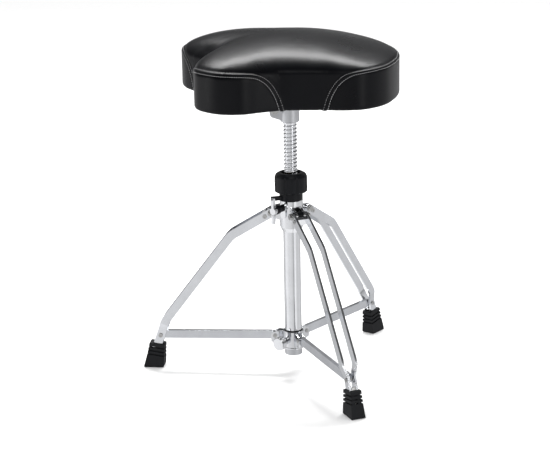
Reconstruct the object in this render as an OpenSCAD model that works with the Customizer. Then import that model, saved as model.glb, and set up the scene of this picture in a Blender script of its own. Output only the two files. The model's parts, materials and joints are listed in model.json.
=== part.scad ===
// Drum throne: three folding double-bar legs, a chrome column, a threaded height rod and a padded seat.
// Units are millimetres. Z is up, the floor is z = 0 and the column stands on the Z axis.
// The left leg points along -X, the near leg at 300 degrees and the far leg at 60 degrees.

/* [Column] */
// Outside diameter of the column tube
tube_d = 31.75; // [30:0.25:34]
// Wall thickness of the column tube
tube_wall = 1.6; // [1.2:0.1:2.2]
// Underside of the tube's end plug above the floor
plug_z = 31.5; // [26:0.5:36]
// Top face of the hub casting
hub_top = 330.3; // [326:0.1:334]
// Diameter of the hub casting
hub_d = 43; // [41:0.5:46]

/* [Legs] */
// Width of each flat leg bar
bar_w = 16.2; // [13:0.1:18]
// Thickness of each flat leg bar
bar_t = 4; // [3:0.25:4.25]
// Bend radius of the leg bars
bar_bend_r = 42; // [20:1:60]
// Height of the pivot where each leg meets the hub
leg_pivot_z = 306.5; // [304:0.5:310]
// Length of the foot's sole along the leg
foot_len = 38; // [34:0.5:42]
// Width of the foot's sole across the leg
foot_w = 26.8; // [24:0.2:30]

/* [Braces] */
// Width of the brace channel
brace_w = 7.6; // [6.4:0.2:7.8]
// Height of the brace channel
brace_h = 15.6; // [13:0.2:17]
// Wall of the brace channel
brace_wall = 1.3; // [1:0.1:1.6]

/* [Height adjustment] */
// Major diameter of the threaded rod
rod_d = 25; // [24:0.25:25.25]
// Thread pitch of the rod
rod_pitch = 7; // [5:0.5:8]
// Diameter of the height nut
nut_d = 60; // [54:1:66]
// Number of grips around the height nut
nut_lobes = 8; // [6:1:12]

/* [Seat] */
// Underside of the seat above the floor
seat_z = 532; // [528:0.5:536]
// Height of the seat at its middle
seat_crown = 107; // [98:1:114]
// Dip between the two thigh lobes at the notch
seat_valley = 9.5; // [4:0.5:18]
// How much higher the top is at the notch end than at the round end
seat_tilt = 10.6; // [0:0.2:14]
// Turn of the seat's notch end about the column
seat_turn = 195.6; // [180:0.2:210]
// Height of the seam between side panels and top cover
seam_h = 64; // [54:1:70]

/* [Hidden] */
$fn = 64;
eps = 0.01;
tube_id = tube_d - 2 * tube_wall;
leg_dirs = [180, 300, 60];

// Leg geometry in a leg's own plane: x runs outward from the column, z runs up.
hub_pivot = [36, leg_pivot_z];
leg_knee_1 = [111.7, 261.5];
leg_knee_2 = [239.9, 92.9];
brace_pivot = [250.6, 62.7];
collar_pivot = [33.8, 67];
leg_end_run = 50;
bar_out_t = 14.6;
bar_in_t = bar_out_t - bar_t;
bar_yaw = 0;
knee_out_t = 14.5;
foot_out_t = 8.45;
toe_start = -26;
toe_end = -5;
pivot_bolt_d = 6.5;
rivet_d = 5;
hole_play = 0.1;
spacer_run = 13.4;
leg_slope = atan2(leg_knee_2[1] - brace_pivot[1], leg_knee_2[0] - brace_pivot[0]) - 180;

// Hub details
hub_foot_z = 270.5;
hub_foot_d = 34;
hub_shoulder_z = 279.5;
lug_in = 5.6;
lug_out = 10.1;
lug_r = 9;
bolt_az = 240;
bolt_z = 319;
bolt_d = 8;
bushing_top = 344.1;
bushing_spigot_z = 290;
washer_t = 1.2;

// Collar details
collar_z0 = 43;
collar_z1 = 78;
collar_d = 38.5;
liner_d = 34.6;
liner_play = 0.2;
ear_in = 4.1;
ear_out = 6.3;
knob_z = 62;
knob_d = 25;

// Rod and receiver details
nut_z0 = bushing_top + washer_t;
nut_z1 = 373.2;
nut_z2 = 381.3;
rod_z0 = 205;
thread_z0 = 218;
thread_z1 = 476;
spigot_d = 24;
rod_top = 524;
root_d = 21.4;
receiver_z0 = 475.5;
receiver_d = 34.6;
flange_t = 5;
lug_az = 190;

// Seat outline, half of it from the middle of the notch to the middle of the round end.
seat_half = [[147, 0], [167, 42], [181, 82], [179, 124], [151, 163], [113, 175], [76, 166], [35, 159], [-28, 170],
    [-70, 182], [-108, 180], [-146, 152], [-174, 104], [-191, 54], [-197, 0]];
seat_steps = 4;
hem_w = 25;
edge_r = 5;
skin_t = 2;
skin_gap = 0.3;
side_mid = 58.7;
side_tilt = 1.9;
dome_n = 1.55;
dome_c = 0.45;
dome_in = 0.42;
foam_gap = 1;
board_t = 12;
cloth_t = 1;
crown_rows = 5;

chrome_c = [0.8, 0.82, 0.84];
satin_c = [0.6, 0.61, 0.62];
black_c = [0.08, 0.08, 0.09];
rubber_c = [0.12, 0.12, 0.12];
steel_c = [0.68, 0.68, 0.66];
vinyl_c = [0.1, 0.1, 0.11];
panel_c = [0.16, 0.16, 0.18];
foam_c = [0.85, 0.8, 0.55];
wood_c = [0.75, 0.6, 0.4];
brass_c = [0.75, 0.6, 0.3];

// ---- shared helpers ----

// Places children at a leg's direction around the column.
module at_leg(i) {
    rotate([0, 0, leg_dirs[i]])
        children();
}

// A plate drawn in the leg's plane (x out, y up), t0 to t1 across it.
module in_plane(t0, t1) {
    translate([0, t1, 0])
        rotate([90, 0, 0])
            linear_extrude(t1 - t0)
                children();
}

// A round pin across the leg's plane.
module cross_pin(p, d, t0, t1) {
    translate([p[0], t0, p[1]])
        rotate([-90, 0, 0])
            cylinder(d = d, h = t1 - t0);
}

// A round bar along the radius at a direction around the column.
module radial_pin(az, z, d, r0, r1) {
    rotate([0, 0, az])
        translate([r0, 0, z])
            rotate([0, 90, 0])
                cylinder(d = d, h = r1 - r0);
}

// A tube or ring about the column.
module ring(d_out, d_in, z0, z1) {
    translate([0, 0, z0])
        difference() {
            cylinder(d = d_out, h = z1 - z0);
            translate([0, 0, -1])
                cylinder(d = d_in, h = z1 - z0 + 2);
        }
}

function unit2(v) = v / norm(v);
function heading(a, b) = atan2(b[1] - a[1], b[0] - a[0]);

// Middle line of a bent bar as [x, y, heading] rows, with an arc at each inner corner.
function bend_rows(p, r, n) = concat(
    [[p[0][0], p[0][1], heading(p[0], p[1])]],
    [for (i = [1 : len(p) - 2])
        let (h0 = heading(p[i - 1], p[i]), h1 = heading(p[i], p[i + 1]), s = h1 > h0 ? 1 : -1,
            run = r * tan(abs(h1 - h0) / 2),
            start = [p[i][0] - run * cos(h0), p[i][1] - run * sin(h0)],
            mid = [start[0] - s * r * sin(h0), start[1] + s * r * cos(h0)])
        for (k = [0 : n])
            let (h = h0 + (h1 - h0) * k / n)
            [mid[0] + s * r * sin(h), mid[1] - s * r * cos(h), h]],
    [[p[len(p) - 1][0], p[len(p) - 1][1], heading(p[len(p) - 2], p[len(p) - 1])]]);

// Outline of a bar of width w on such a middle line, with a half-round start.
function bar_outline(rows, w) = concat(
    [for (k = [17 : -1 : 1])
        let (a = rows[0][2] + 90 + k * 10)
        [rows[0][0] + w / 2 * cos(a), rows[0][1] + w / 2 * sin(a)]],
    [for (q = rows) [q[0] - w / 2 * sin(q[2]), q[1] + w / 2 * cos(q[2])]],
    [for (i = [len(rows) - 1 : -1 : 0])
        let (q = rows[i])
        [q[0] + w / 2 * sin(q[2]), q[1] - w / 2 * cos(q[2])]]);

function leg_axis() = [cos(leg_slope), sin(leg_slope)];
function on_leg_end(run) = brace_pivot + run * leg_axis();

// ---- column ----

module column_tube() {
    color(chrome_c)
        difference() {
            ring(tube_d, tube_id, plug_z + 11.1, hub_top);
            radial_pin(bolt_az, bolt_z, bolt_d + 1, 10, 20);
        }
}

module hub_lug_profile() {
    circle_z = hub_pivot[1];
    polygon([[18, circle_z - 15], [hub_pivot[0] - 1.6, circle_z - lug_r + 0.14],
        [hub_pivot[0], circle_z], [hub_pivot[0] - 0.6, circle_z + lug_r - 0.02], [18, circle_z + 14]]);
    translate(hub_pivot)
        circle(r = lug_r);
}

module hub() {
    color(chrome_c)
        difference() {
            union() {
                rotate_extrude()
                    polygon([[tube_d / 2, hub_foot_z], [hub_foot_d / 2, hub_foot_z], [hub_d / 2, hub_shoulder_z],
                        [hub_d / 2, hub_top - 1], [hub_d / 2 - 1, hub_top], [tube_d / 2, hub_top]]);
                for (i = [0 : 2])
                    at_leg(i) {
                        in_plane(lug_in, lug_out)
                            hub_lug_profile();
                        in_plane(-lug_out, -lug_in)
                            hub_lug_profile();
                    }
                radial_pin(bolt_az, bolt_z, 14, 17, 28);
                radial_pin(bolt_az, bolt_z - 15, 11, 17, 26);
                rotate([0, 0, bolt_az])
                    translate([17, -5.5, bolt_z - 15])
                        cube([9, 11, 15]);
            }
            translate([0, 0, hub_foot_z - 1])
                cylinder(d = tube_d, h = hub_top - hub_foot_z + 2);
            for (i = [0 : 2])
                at_leg(i)
                    cross_pin(hub_pivot, pivot_bolt_d + hole_play, -20, 20);
            radial_pin(bolt_az, bolt_z, bolt_d + hole_play, 10, 40);
        }
}

module hub_pivot_blocks() {
    color(black_c)
        for (i = [0 : 2])
            at_leg(i)
                difference() {
                    in_plane(-lug_in, lug_in)
                        union() {
                            translate(hub_pivot)
                                circle(r = lug_r - 1);
                            polygon([[22.2, hub_pivot[1] - 12], [hub_pivot[0], hub_pivot[1] - 7],
                                [hub_pivot[0], hub_pivot[1]], [22.2, hub_pivot[1] - 1]]);
                        }
                    cross_pin(hub_pivot, pivot_bolt_d + hole_play, -20, 20);
                }
}

module guide_bushing() {
    color(black_c)
        difference() {
            union() {
                rotate_extrude()
                    polygon([[rod_d / 2 + hole_play / 2, bushing_spigot_z], [tube_id / 2, bushing_spigot_z],
                        [tube_id / 2, hub_top], [hub_d / 2, hub_top], [hub_d / 2, bushing_top - 1],
                        [hub_d / 2 - 1, bushing_top], [rod_d / 2 + hole_play / 2, bushing_top]]);
                rotate([0, 0, 207])
                    translate([19, -4.5, hub_top + 0.5])
                        cube([19.5, 9, 7]);
                rotate([0, 0, 207])
                    translate([35.5, -4.5, hub_top - 5])
                        cube([3, 9, 6]);
            }
            radial_pin(bolt_az, bolt_z, bolt_d + 1, 10, 16);
            translate([0, 0, bushing_spigot_z - 1])
                cylinder(d = rod_d + hole_play, h = bushing_top - bushing_spigot_z + 2);
        }
}

module nut_thrust_washer() {
    color(steel_c)
        ring(38, rod_d + 1, bushing_top, bushing_top + washer_t);
}

module tube_end_plug() {
    color(satin_c)
        rotate_extrude()
            polygon([[0, plug_z + 4], [11, plug_z + 4], [12.5, plug_z], [15.3, plug_z], [16.3, plug_z + 1],
                [16.3, plug_z + 10.3], [15.9, plug_z + 11.1], [tube_id / 2, plug_z + 11.1],
                [tube_id / 2, plug_z + 28], [tube_id / 2 - 1.5, plug_z + 30], [10, plug_z + 30],
                [10, plug_z + 8], [0, plug_z + 8]]);
}

// ---- brace collar ----

module ear_profile() {
    p = collar_pivot;
    translate(p)
        circle(r = 7.4);
    polygon([[17.2, p[1] - 15], [24, p[1] - 15], [p[0] + 7.4, p[1] - 12], [p[0] + 7.4, p[1]],
        [p[0], p[1] + 7.4], [p[0] - 7, p[1] + 11], [17.2, p[1] + 10]]);
}

module brace_collar() {
    color(chrome_c)
        difference() {
            union() {
                rotate_extrude()
                    polygon([[liner_d / 2, collar_z0], [collar_d / 2 - 0.8, collar_z0], [collar_d / 2, collar_z0 + 0.8],
                        [collar_d / 2, collar_z0 + 3], [collar_d / 2 - 1, collar_z0 + 4],
                        [collar_d / 2 - 1, collar_z1 - 5], [collar_d / 2 - 0.2, collar_z1 - 4],
                        [collar_d / 2 - 0.2, collar_z1 - 1], [collar_d / 2 - 1.2, collar_z1], [liner_d / 2, collar_z1]]);
                for (i = [0 : 2])
                    at_leg(i) {
                        in_plane(ear_in, ear_out)
                            ear_profile();
                        in_plane(-ear_out, -ear_in)
                            ear_profile();
                    }
                radial_pin(bolt_az, knob_z, 13, 17.3, 27);
            }
            translate([0, 0, collar_z0 - 1])
                cylinder(d = liner_d, h = collar_z1 - collar_z0 + 2);
            for (i = [0 : 2])
                at_leg(i)
                    cross_pin(collar_pivot, rivet_d, -10, 10);
            radial_pin(bolt_az, knob_z, 6, 10, 40);
            for (az = [0, 120], side = [-15, 15])
                rotate([0, 0, az + side])
                    translate([collar_d / 2 - 1.9, -2.4, collar_z0 + 7])
                        cube([3, 4.8, 11]);
        }
}

module collar_liner() {
    color(black_c)
        difference() {
            ring(liner_d, tube_d + liner_play, collar_z0 + 0.5, collar_z1 + 1.5);
            radial_pin(bolt_az, knob_z, 6, 10, 40);
        }
}

module collar_rivets() {
    color(steel_c)
        for (i = [0 : 2])
            at_leg(i) {
                cross_pin(collar_pivot, rivet_d, -ear_out, ear_out);
                cross_pin(collar_pivot, 8, -ear_out - 1.3, -ear_out);
                difference() {
                    cross_pin(collar_pivot, 8, ear_out, ear_out + 1.3);
                    cross_pin(collar_pivot, 3.4, ear_out + 0.5, ear_out + 2);
                }
            }
}

module lock_knob() {
    color(chrome_c)
        rotate([0, 0, bolt_az])
            translate([0, 0, knob_z])
                rotate([0, 90, 0])
                    rotate_extrude()
                        polygon([[3, 27.6], [6.2, 27.6], [6.2, 35.2], [knob_d / 2 - 1.2, 36.2], [knob_d / 2, 37.4],
                            [knob_d / 2, 46.6], [knob_d / 2 - 1.4, 48], [0, 48.4], [0, 42], [3, 42]]);
}

module lock_knob_screw() {
    color(steel_c)
        radial_pin(bolt_az, knob_z, 5.9, tube_d / 2 + 0.3, 42);
}

// ---- hub wing bolt ----

module wing_profile() {
    polygon([[0, 0], [6.5, 4], [8, 12], [8.6, 20], [6.8, 24.2], [3.4, 24.2], [1.2, 20], [0, 12], [-1, 6]]);
}

module wing_bolt() {
    color(chrome_c)
        rotate([0, 0, bolt_az])
            translate([0, 0, bolt_z]) {
                translate([rod_d / 2 + 0.6, 0, 0])
                    rotate([0, 90, 0])
                        cylinder(d = bolt_d, h = 40);
                translate([48.2, 0, 0])
                    rotate([0, 90, 0])
                        cylinder(d = 12.5, h = 8.8);
                for (s = [0, 180])
                    rotate([s, 0, 0])
                        translate([50, 2.6, 0])
                            rotate([90, 0, 0])
                                linear_extrude(5.2)
                                    wing_profile();
            }
}

module wing_bolt_collar() {
    color(black_c)
        rotate([0, 0, bolt_az])
            translate([0, 0, bolt_z])
                rotate([0, 90, 0])
                    rotate_extrude()
                        polygon([[bolt_d / 2, 28.3], [6.4, 28.3], [6.4, 31], [5.2, 31.6], [5.2, 38.4], [7.6, 39.2],
                            [7.9, 41], [7.9, 46.6], [7.2, 48], [bolt_d / 2, 48]]);
}

// ---- height nut ----

module height_nut_body() {
    color(black_c)
        difference() {
            rotate_extrude()
                polygon([[rod_d / 2 + 4, nut_z0], [nut_d / 2 - 1.2, nut_z0], [nut_d / 2, nut_z0 + 1.2],
                    [nut_d / 2, nut_z1], [nut_d / 2 - 2.5, nut_z1 + 5], [nut_d / 2 - 8, nut_z2],
                    [rod_d / 2 + 5.5, nut_z2], [rod_d / 2 + 4, nut_z2 - 5]]);
            for (k = [0 : nut_lobes - 1])
                rotate([0, 0, 29.3 + k * 360 / nut_lobes])
                    translate([nut_d / 2 + 1.6, 0, nut_z0 - 1])
                        cylinder(d = 6.4, h = 60);
        }
}

module height_nut_insert() {
    color(brass_c)
        ring(rod_d + 8, rod_d + 2 * hole_play, nut_z0, nut_z2 - 6);
}

// ---- threaded rod ----

thread_turns = floor((thread_z1 - thread_z0) / rod_pitch);

module threaded_rod() {
    color(chrome_c)
        difference() {
            rotate_extrude()
                polygon(concat(
                    [[0, rod_z0], [spigot_d / 2 - 1.5, rod_z0], [rod_d / 2 - 0.8, rod_z0 + 2], [rod_d / 2 - 0.8, thread_z0 - 6],
                        [rod_d / 2, thread_z0 - 5]],
                    [for (k = [0 : thread_turns - 1], c = [[rod_d / 2, 0], [root_d / 2, 2], [root_d / 2, 3.4], [rod_d / 2, 5.4]])
                        [c[0], thread_z0 + k * rod_pitch + c[1]]],
                    [[rod_d / 2, thread_z1 - 1.6], [spigot_d / 2, thread_z1 - 0.6], [spigot_d / 2, rod_top - 1],
                        [spigot_d / 2 - 1, rod_top], [0, rod_top]]));
            translate([0, 0, rod_z0 - 1])
                cylinder(d = 14, h = rod_top - rod_z0 + 2);
        }
}

module rod_end_stop() {
    color(steel_c)
        rotate_extrude()
            polygon([[0, rod_z0 - 3], [13.6, rod_z0 - 3], [13.9, rod_z0 - 2.4], [13.9, rod_z0], [7, rod_z0],
                [7, rod_z0 + 14], [0, rod_z0 + 14]]);
}

// ---- legs ----

bar_rows = bend_rows([hub_pivot, leg_knee_1, leg_knee_2, on_leg_end(leg_end_run)], bar_bend_r, 8);

upper_rows = [for (i = [0 : len(bar_rows) - 2]) bar_rows[i]];

// Plan of the bar's toed-in lower end: distance past the brace pivot, and distance from the leg's middle.
toe_profile = [[toe_start, knee_out_t - bar_t], [toe_start, knee_out_t], [toe_start + 1, knee_out_t],
    [toe_end, foot_out_t], [leg_end_run, foot_out_t], [leg_end_run, foot_out_t - bar_t],
    [toe_end - 0.5, foot_out_t - bar_t], [toe_start + 0.5, knee_out_t - bar_t]];

// Places children at the brace pivot with x running down the leg's lower end.
module along_leg_end() {
    translate([brace_pivot[0], 0, brace_pivot[1]])
        rotate([0, -leg_slope, 0])
            children();
}

module leg_bar(side) {
    color(chrome_c)
        difference() {
            union() {
                translate([hub_pivot[0], side * bar_in_t, 0])
                    rotate([0, 0, -side * bar_yaw])
                        translate([-hub_pivot[0], side > 0 ? 0 : -bar_t, 0])
                            in_plane(0, bar_t)
                                polygon(bar_outline(upper_rows, bar_w));
                along_leg_end()
                    translate([0, 0, 0.05 - bar_w / 2])
                        linear_extrude(bar_w - 0.1)
                            polygon([for (q = toe_profile) [q[0], side * q[1]]]);
            }
            cross_pin(hub_pivot, pivot_bolt_d, -20, 20);
            cross_pin(hub_pivot + spacer_run * [cos(-30.6), sin(-30.6)], rivet_d, -20, 20);
            cross_pin(brace_pivot, rivet_d, -20, 20);
        }
}

module leg_spacer() {
    color(chrome_c)
        difference() {
            translate([hub_pivot[0], 0, hub_pivot[1]])
                rotate([0, 30.6, 0])
                    translate([9.7, -bar_in_t, -7.4])
                        cube([7, 2 * bar_in_t, 14.8]);
            cross_pin(hub_pivot + spacer_run * [cos(-30.6), sin(-30.6)], rivet_d, -20, 20);
        }
}

module rivet_head(p, t0, side) {
    difference() {
        cross_pin(p, 8.2, side > 0 ? t0 : -t0 - 1.3, side > 0 ? t0 + 1.3 : -t0);
        cross_pin(p, 3.4, side > 0 ? t0 + 0.5 : -t0 - 2, side > 0 ? t0 + 2 : -t0 - 0.5);
    }
}

module leg_rivets() {
    sp = hub_pivot + spacer_run * [cos(-30.6), sin(-30.6)];
    color(steel_c) {
        cross_pin(sp, rivet_d, -bar_out_t, bar_out_t);
        rivet_head(sp, bar_out_t, 1);
        rivet_head(sp, bar_out_t, -1);
        for (side = [-1, 1]) {
            cross_pin(brace_pivot, rivet_d, side > 0 ? 4.6 : -8.5, side > 0 ? 8.5 : -4.6);
            rivet_head(brace_pivot, foot_out_t, side);
        }
    }
}

module leg_pivot_bolt() {
    color(steel_c) {
        cross_pin(hub_pivot, 13, -15.8, -14.6);
        translate([hub_pivot[0], -15.8, hub_pivot[1]])
            rotate([90, 0, 0])
                cylinder(d = 11.6, h = 4.2, $fn = 6);
        cross_pin(hub_pivot, pivot_bolt_d, -14.6, 17.1);
        translate([hub_pivot[0], 14.6, hub_pivot[1]])
            rotate([-90, 0, 0])
                rotate_extrude()
                    polygon([[pivot_bolt_d / 2 - 0.5, 0], [6.4, 0], [6.4, 1.2], [5, 1.2], [5, 4.4], [3.6, 6.2], [1.6, 7],
                        [0, 7.2], [0, 2.4], [pivot_bolt_d / 2 - 0.5, 2.4]]);
    }
}

module leg_foot_core() {
    color(steel_c)
        translate([brace_pivot[0], 0, brace_pivot[1]])
            rotate([0, -leg_slope, 0])
                translate([14, -4, -6.5])
                    cube([33, 8, 13]);
}

// Side view of the foot, pulled in by a margin at the inner side and at the outer end.
module foot_side(inner, outer) {
    x0 = 245.8 + inner;
    x1 = 245.8 + foot_len - outer;
    polygon([[x0 + 3, 0], [x1 - 1.5, 0], [x1 - 0.4, 0.6], [x1, 2.5], [x1 - 6, 24.3], [x1 - 11.4, 47.4],
        [x1 - 12.9, 48.4], [x0 - 1.2, 44.8], [x0 - 2.6, 43.4], [x0 - 1.2, 20], [x0, 3], [x0 + 0.9, 0.9]]);
}

// End view of the foot.
module foot_front(margin) {
    half = foot_w / 2 - margin;
    polygon([[-half + 0.8, 0], [half - 0.8, 0], [half, 0.9], [half - 1.7, 24], [half - 2.6, 47], [half - 3.4, 60],
        [-half + 3.4, 60], [-half + 2.6, 47], [-half + 1.7, 24], [-half, 0.9]]);
}

module foot_block(inner, outer, margin) {
    intersection() {
        in_plane(-20, 20)
            foot_side(inner, outer);
        translate([300, 0, 0])
            rotate([90, 0, -90])
                linear_extrude(80)
                    foot_front(margin);
    }
}

module leg_foot() {
    color(rubber_c)
        difference() {
            foot_block(0, 0, 0);
            difference() {
                for (k = [0 : 2])
                    translate([262, 0, 24.6 + 7.2 * k])
                        rotate([0, -8.6, 0])
                            translate([-30, -20, -1.4])
                                cube([60, 40, 2.8]);
                foot_block(2.6, 1.1, 2.6);
            }
            for (k = [0 : 2])
                translate([262, 0, 24.6 + 7.2 * k])
                    rotate([0, -8.6, 0])
                        translate([10, -2.2, -1.4])
                            cube([12, 4.4, 2.8]);
            translate([brace_pivot[0], 0, brace_pivot[1]])
                rotate([0, -leg_slope, 0])
                    translate([8, -8.5, -bar_w / 2])
                        cube([leg_end_run - 8, 17, bar_w]);
        }
}

// ---- braces ----

brace_len = norm(brace_pivot - collar_pivot);
brace_tilt = atan2(collar_pivot[1] - brace_pivot[1], brace_pivot[0] - collar_pivot[0]);

module brace() {
    color(chrome_c)
        translate([collar_pivot[0], 0, collar_pivot[1]])
            rotate([0, brace_tilt, 0])
                difference() {
                    in_plane(-brace_w / 2, brace_w / 2) {
                        translate([0, 0])
                            circle(r = 6.8);
                        translate([brace_len, 0])
                            circle(r = 6.2);
                        polygon([[0, -6.8], [brace_len - 12, -6.8], [brace_len, -6.2], [brace_len, 6.2],
                            [brace_len - 8, brace_h - 6.8], [7, brace_h - 6.8], [0, 6.8]]);
                    }
                    translate([-10, -brace_w / 2 + brace_wall, -10])
                        cube([brace_len + 20, brace_w - 2 * brace_wall, brace_h + 1.9]);
                    cross_pin([0, 0], rivet_d + hole_play, -10, 10);
                    cross_pin([brace_len, 0], rivet_d, -10, 10);
                }
}

module brace_pin() {
    color(steel_c)
        difference() {
            cross_pin(brace_pivot, rivet_d, -brace_w / 2 - 0.1, brace_w / 2 + 0.1);
            cross_pin(brace_pivot, 2.6, -10, 10);
        }
}

// ---- seat receiver and fixings ----

module receiver_lug_profile() {
    polygon([[14, 479], [33, 485.5], [36, 489], [40.5, 509], [40.5, 519], [36, 523], [14, 523]]);
}

module seat_receiver() {
    color(satin_c)
        difference() {
            union() {
                rotate_extrude()
                    polygon([[0, receiver_z0], [receiver_d / 2 - 1.5, receiver_z0], [receiver_d / 2, receiver_z0 + 1.5],
                        [receiver_d / 2 + 0.6, seat_z - 14], [receiver_d / 2 + 8, seat_z - flange_t],
                        [receiver_d / 2 + 8, seat_z], [0, seat_z]]);
                rotate([0, 0, seat_turn])
                    translate([0, 0, seat_z - flange_t])
                        linear_extrude(flange_t)
                            intersection() {
                                square([128, 104], center = true);
                                circle(d = 146);
                            }
                for (a = [45, 135, 225, 315])
                    rotate([0, 0, seat_turn + a])
                        in_plane(-2.5, 2.5)
                            polygon([[12, seat_z - 26], [receiver_d / 2 + 1, seat_z - 26], [62, seat_z - flange_t], [12, seat_z - flange_t]]);
                rotate([0, 0, lug_az])
                    in_plane(-9.5, 9.5)
                        receiver_lug_profile();
            }
            translate([0, 0, receiver_z0 - 1])
                cylinder(d = spigot_d + hole_play, h = rod_top - receiver_z0 + 2);
            rotate([0, 0, lug_az])
                translate([8, -1.5, receiver_z0 - 1])
                    cube([40, 3, 46]);
            rotate([0, 0, lug_az])
                cross_pin([28, 499], bolt_d, -20, 20);
            flange_holes(6.4, seat_z - 10, seat_z + 1);
        }
}

module flange_holes(d, z0, z1) {
    for (sx = [-1, 1], sy = [-1, 1])
        rotate([0, 0, seat_turn])
            translate([sx * 52, sy * 40, z0])
                cylinder(d = d, h = z1 - z0);
}

module receiver_clamp_bolt() {
    color(steel_c)
        rotate([0, 0, lug_az]) {
            cross_pin([28, 499], bolt_d, -9.5, 18);
            cross_pin([28, 499], 16, -11, -9.5);
            translate([28, -11, 499])
                rotate([90, 0, 0])
                    cylinder(d = 14.4, h = 5.4, $fn = 6);
        }
}

module receiver_clamp_nut() {
    color(steel_c)
        rotate([0, 0, lug_az])
            difference() {
                union() {
                    cross_pin([28, 499], 16, 9.5, 11);
                    translate([28, 11, 499])
                        rotate([-90, 0, 0])
                            cylinder(d = 14.4, h = 6, $fn = 6);
                }
                cross_pin([28, 499], bolt_d, 9, 20);
            }
}

module flange_screws() {
    color(steel_c)
        for (sx = [-1, 1], sy = [-1, 1])
            rotate([0, 0, seat_turn])
                translate([sx * 52, sy * 40, 0])
                    difference() {
                        union() {
                            translate([0, 0, seat_z - flange_t - 4.6])
                                cylinder(d = 11.6, h = 3.4, $fn = 6);
                            translate([0, 0, seat_z - flange_t - 1.2])
                                cylinder(d = 14, h = 1.2);
                            translate([0, 0, seat_z - flange_t])
                                cylinder(d = 6, h = flange_t + 13);
                        }
                        translate([0, 0, seat_z - flange_t - 5])
                            cylinder(d = 4, h = 2);
                    }
}

module tee_nuts() {
    color(steel_c)
        for (sx = [-1, 1], sy = [-1, 1])
            rotate([0, 0, seat_turn])
                translate([sx * 52, sy * 40, 0])
                    difference() {
                        union() {
                            translate([0, 0, seat_z + cloth_t + 1])
                                cylinder(d = 9, h = board_t - 1);
                            translate([0, 0, seat_z + cloth_t + board_t])
                                cylinder(d = 19, h = 1.3);
                        }
                        translate([0, 0, seat_z])
                            cylinder(d = 6, h = board_t + 4);
                    }
}

// ---- seat surface ----

seat_ctrl = concat(seat_half, [for (i = [len(seat_half) - 2 : -1 : 1]) [seat_half[i][0], -seat_half[i][1]]]);
n_ctrl = len(seat_ctrl);
n_col = n_ctrl * seat_steps;

function spline(a, b, c, d, t) = 0.5 * ((2 * b) + (c - a) * t + (2 * a - 5 * b + 4 * c - d) * t * t
    + (3 * b - a - 3 * c + d) * t * t * t);
function ctrl(i) = seat_ctrl[(i + n_ctrl) % n_ctrl];
seat_line = [for (i = [0 : n_ctrl - 1], k = [0 : seat_steps - 1])
    spline(ctrl(i - 1), ctrl(i), ctrl(i + 1), ctrl(i + 2), k / seat_steps)];

// Half-way columns: the panels start and end on these columns.
near_cols = [1 * seat_steps, 7 * seat_steps];
back_cols = [8 * seat_steps, 20 * seat_steps];
far_cols = [21 * seat_steps, 27 * seat_steps];

// Height of the seam along a panel, rising from both ends of it.
function seam_rise(e) = seam_h * (1 - exp(-e / 1.8));
function seam_in(i, cols) = min(seam_rise(i - cols[0]), seam_rise(cols[1] - i));
function inside(i, cols) = i >= cols[0] && i <= cols[1];
function seam_z(i) = inside(i, near_cols) ? seam_in(i, near_cols)
    : inside(i, back_cols) ? seam_in(i, back_cols)
    : inside(i, far_cols) ? seam_in(i, far_cols) : -1;

corner_run = 90 * PI / 180 * edge_r;
dome_run = 58;

// Top of the upright side wall, a little higher towards the round end.
function side_z(q) = side_mid - side_tilt * q[0] / 180;
function side_w(q) = hem_w + corner_run + side_z(q) - edge_r;

// Height of the top over a point of the outline pulled in by s: 1 is the rim and 0 the middle.
function dome_k(s) = pow(s * s + dome_c * dome_c, dome_n / 2);
function dome_part(s) = sqrt(max(0, (dome_k(1) - dome_k(s)) / (dome_k(1) - dome_k(0))));
function notch_dip(q, s) = seat_valley * exp(-pow(q[1] * s / 46, 2)) * max(0, min(1, q[0] * s / 147))
    * min(1, 2.5 * dome_part(s));
function dome_rise(q) = seat_crown + seat_tilt * q[0] / 180 - side_z(q);
function dome_z(q, s) = side_z(q) + (dome_rise(q * s) + side_z(q * s) - side_z(q)) * dome_part(s) - notch_dip(q, s);

// Path length up the cover at a height h of the seam.
function dome_s(q, h) = let (f = pow((h - side_z(q)) / dome_rise(q), 2))
    sqrt(pow(dome_k(1) - f * (dome_k(1) - dome_k(0)), 2 / dome_n) - dome_c * dome_c);
function seam_w(i) = let (h = seam_z(i), q = seat_line[i])
    h < 0 ? 0
    : h < edge_r ? hem_w + corner_run * h / edge_r
    : h < side_z(q) ? hem_w + corner_run + h - edge_r
    : side_w(q) + dome_run * sqrt((1 - dome_s(q, h)) / dome_in);

// Point of the top on column i, with its inner face pushed in by d.
function dome_point(i, s, d) = let (q = seat_line[i], r = norm(q), k = s * (r - d) / r)
    [q[0] * k, q[1] * k, dome_z(q, s) - d * (1 - pow(s, 6))];

// Point of the cover: column i, path length w from the hem's inner edge, pushed in by d.
function wall_rz(w, d, r) =
    w <= hem_w ? [r - edge_r - hem_w + w, d]
    : w <= hem_w + corner_run ? let (a = (w - hem_w) / corner_run * 90)
        [r - edge_r + (edge_r - d) * sin(a), edge_r - (edge_r - d) * cos(a)]
    : [r - d, edge_r + w - hem_w - corner_run];
function skin_point(i, w, d) = let (q = seat_line[i], r = norm(q))
    w <= side_w(q) ? let (p = wall_rz(w, d, r)) [q[0] * p[0] / r, q[1] * p[0] / r, p[1]]
    : dome_point(i, 1 - dome_in * pow(min(1, (w - side_w(q)) / dome_run), 2), d);
function crown_point(i, f, d) = dome_point(i, (1 - dome_in) * f, d);

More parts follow.
